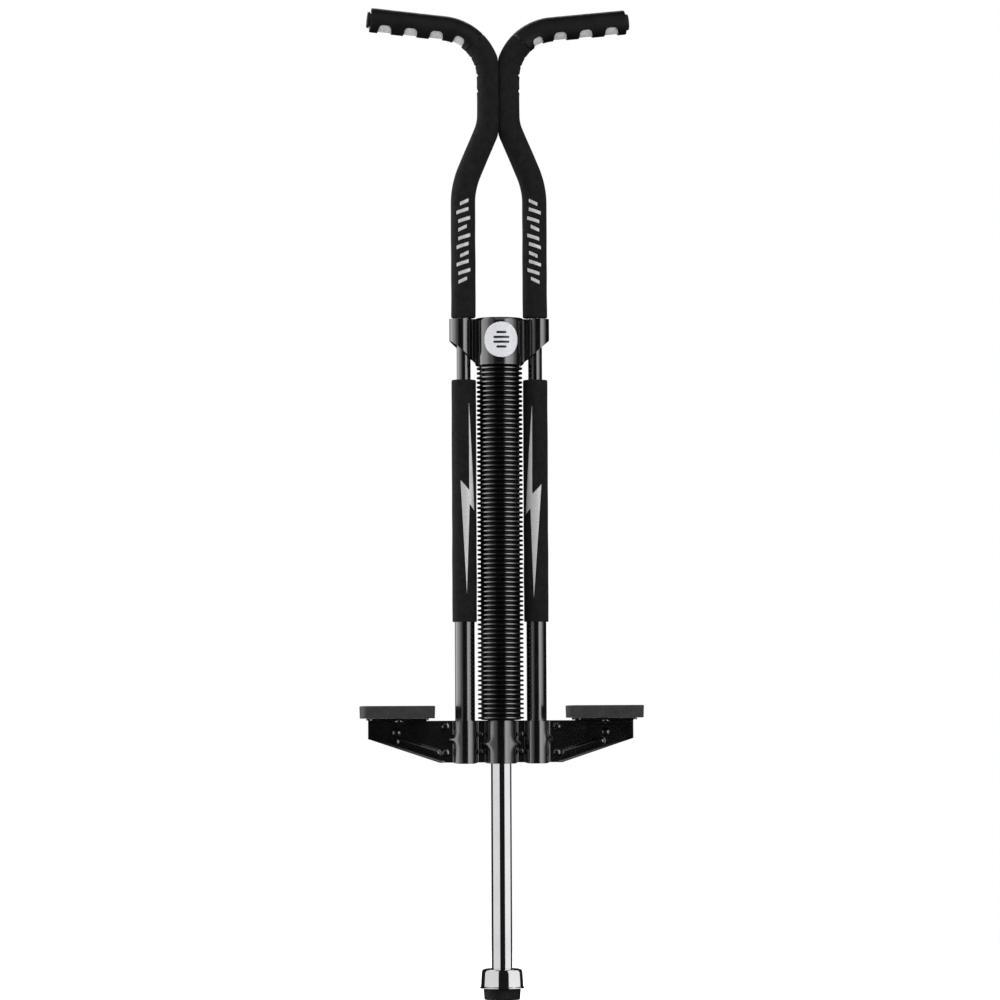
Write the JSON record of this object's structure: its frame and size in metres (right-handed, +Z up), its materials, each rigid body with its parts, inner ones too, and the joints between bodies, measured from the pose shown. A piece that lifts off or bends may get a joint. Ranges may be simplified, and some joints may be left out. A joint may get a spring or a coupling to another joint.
{
  "type": "pogo stick",
  "caption": "Pogo stick with a sprung chrome leg, ribbed spring cover, pressed foot bracket with rubber pads and two bent, foam-covered handlebars.",
  "frame": {"origin": "on the ground plane, under the centre of the rubber tip", "axes": "+Z up along the leg, +X along the grips and foot pads to the right, -Y the front with the round badge"},
  "size_m": [0.301, 0.088, 1.0692],
  "materials": {
    "black_paint": "gloss black powder coat",
    "foam": "matt closed-cell foam",
    "grip": "satin moulded rubber",
    "grip_core": "matt light grey",
    "black_plastic": "satin black",
    "cover": "gloss black corrugated",
    "pad_rubber": "matt dark grey",
    "tip_rubber": "matt black",
    "chrome": "mirror chrome plate",
    "steel": "zinc plated",
    "badge": "silver, fine sparkle"
  },
  "bodies": {
    "frame": {"emblem_disc": "badge", "end_plug_left": "black_plastic", "end_plug_right": "black_plastic", "foam_lower_left": "foam", "foam_lower_right": "foam", "foam_upper_left": "foam", "foam_upper_right": "foam", "foot_pad_left": "pad_rubber", "foot_pad_right": "pad_rubber", "foot_shell_front": "black_paint", "foot_shell_rear": "black_paint", "grip_core_left": "grip_core", "grip_core_right": "grip_core", "grip_left": "grip", "grip_right": "grip", "guide_bush": "black_plastic", "handle_tube_left": "black_paint", "handle_tube_right": "black_paint", "head_cap": "black_plastic", "head_insert_left": "black_plastic", "head_insert_right": "black_plastic", "head_shell_front": "black_paint", "head_shell_rear": "black_paint", "lower_tube_left": "black_paint", "lower_tube_right": "black_paint", "pad_screw_front_left": "black_paint", "pad_screw_front_right": "black_paint", "pad_screw_rear_left": "black_paint", "pad_screw_rear_right": "black_paint", "rest_buffer": "tip_rubber", "rivet_inner_lower_left": "black_paint", "rivet_inner_lower_right": "black_paint", "rivet_inner_upper_left": "black_paint", "rivet_inner_upper_right": "black_paint", "rivet_outer_lower_left": "black_paint", "rivet_outer_lower_right": "black_paint", "rivet_outer_upper_left": "black_paint", "rivet_outer_upper_right": "black_paint", "rivet_wing_left": "black_paint", "rivet_wing_right": "black_paint", "spring": "steel", "spring_cover": "cover", "spring_seat_upper": "steel"},
    "leg": {"collar_pin": "steel", "ferrule": "chrome", "leg_collar": "steel", "leg_shaft": "chrome", "rubber_tip": "tip_rubber"}
  },
  "joints": [
    {"name": "leg_slide", "type": "slide", "parent": "frame", "child": "leg", "axis": [0, 0, 1], "range_m": [0, 0.12], "stiffness_N_per_m": 8000, "springref_m": -0.02, "deforming": ["spring"]}
  ]
}
